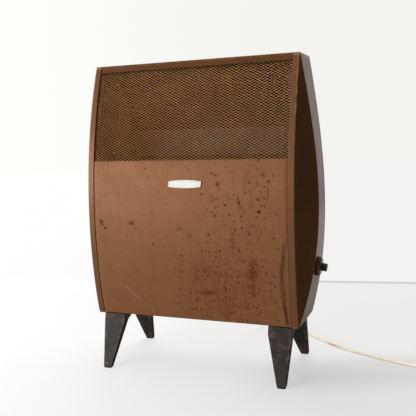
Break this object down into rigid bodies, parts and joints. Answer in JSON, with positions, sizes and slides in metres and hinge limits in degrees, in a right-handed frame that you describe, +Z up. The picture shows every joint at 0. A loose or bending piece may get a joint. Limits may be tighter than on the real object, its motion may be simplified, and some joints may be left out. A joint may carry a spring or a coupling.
{
  "type": "convector heater",
  "caption": "Free-standing electric convector heater with a bowed steel cabinet, expanded-metal grille, ceramic heating elements, side heat switch, wooden legs and mains cord.",
  "frame": {"origin": "centre of the footprint on the floor, cord and plug left out", "axes": "+Z up, -Y towards the front with the grille, +X towards the side with the heat switch"},
  "size_m": [0.8616, 0.4655, 0.696],
  "materials": {
    "cabinet_enamel": "semi-gloss brown metallic enamel, worn and rust-specked",
    "inner_steel": "dull galvanised",
    "grille_metal": "bronze paint on expanded steel",
    "badge": "cream, slightly yellowed",
    "leg_wood": "black stain, worn at the edges",
    "glide_rubber": "matt",
    "fastener_steel": "zinc plated",
    "boss_plastic": "brown thermoset",
    "knob_plastic": "black thermoset",
    "switch_plastic": "moulded phenolic",
    "ceramic": "unglazed steatite",
    "resistance_wire": "oxidised",
    "brass": "plain",
    "wire_sleeve": "woven heat-proof sleeve",
    "cord_sheath": "cream, semi-matt",
    "plug_plastic": "cream moulding"
  },
  "bodies": {
    "heater": {"side_panel_left": "cabinet_enamel", "side_panel_right": "cabinet_enamel", "top_panel": "cabinet_enamel", "front_panel": "cabinet_enamel", "base_plate": "cabinet_enamel", "back_panel": "cabinet_enamel", "grille_mesh": "grille_metal", "grille_rail_upper": "inner_steel", "grille_rail_lower": "inner_steel", "grille_stile_left": "inner_steel", "grille_stile_right": "inner_steel", "badge_plate": "badge", "badge_clips": "fastener_steel", "back_screws": "fastener_steel", "leg_front_left": "leg_wood", "leg_front_right": "leg_wood", "leg_rear_left": "leg_wood", "leg_rear_right": "leg_wood", "leg_plates": "inner_steel", "leg_screws": "fastener_steel", "foot_glides": "glide_rubber", "switch_boss": "boss_plastic", "switch_body": "switch_plastic", "switch_nut": "brass", "element_bracket_left": "inner_steel", "element_bracket_right": "inner_steel", "element_rods": "fastener_steel", "element_nuts": "fastener_steel", "ceramic_former_lower": "ceramic", "ceramic_former_upper": "ceramic", "ceramic_end_rings": "ceramic", "heating_coil_lower": "resistance_wire", "heating_coil_upper": "resistance_wire", "heat_shield": "inner_steel", "front_baffle": "inner_steel", "air_deflector": "inner_steel", "thermal_cutout": "ceramic", "terminal_block": "ceramic", "terminal_screws": "brass", "wire_supply": "wire_sleeve", "wire_switch": "wire_sleeve", "wire_lower_element": "wire_sleeve", "wire_upper_element": "wire_sleeve", "wire_element_link": "wire_sleeve", "wire_cutout": "wire_sleeve", "strain_relief": "cord_sheath", "strain_relief_nut": "cord_sheath", "mains_cord": "cord_sheath", "mains_cord_coil": "cord_sheath", "mains_cord_tail": "cord_sheath", "cord_tie": "glide_rubber", "plug_body": "plug_plastic", "plug_pins": "brass"},
    "knob": {"control_knob": "knob_plastic", "switch_shaft": "fastener_steel", "switch_rotor": "switch_plastic"}
  },
  "joints": [
    {"name": "heat_switch_turn", "type": "hinge", "parent": "heater", "child": "knob", "pos_m": [0.25633, -0.001, 0.241], "axis": [-0.9918, 0, 0.1281], "range_deg": [0, 270]}
  ]
}
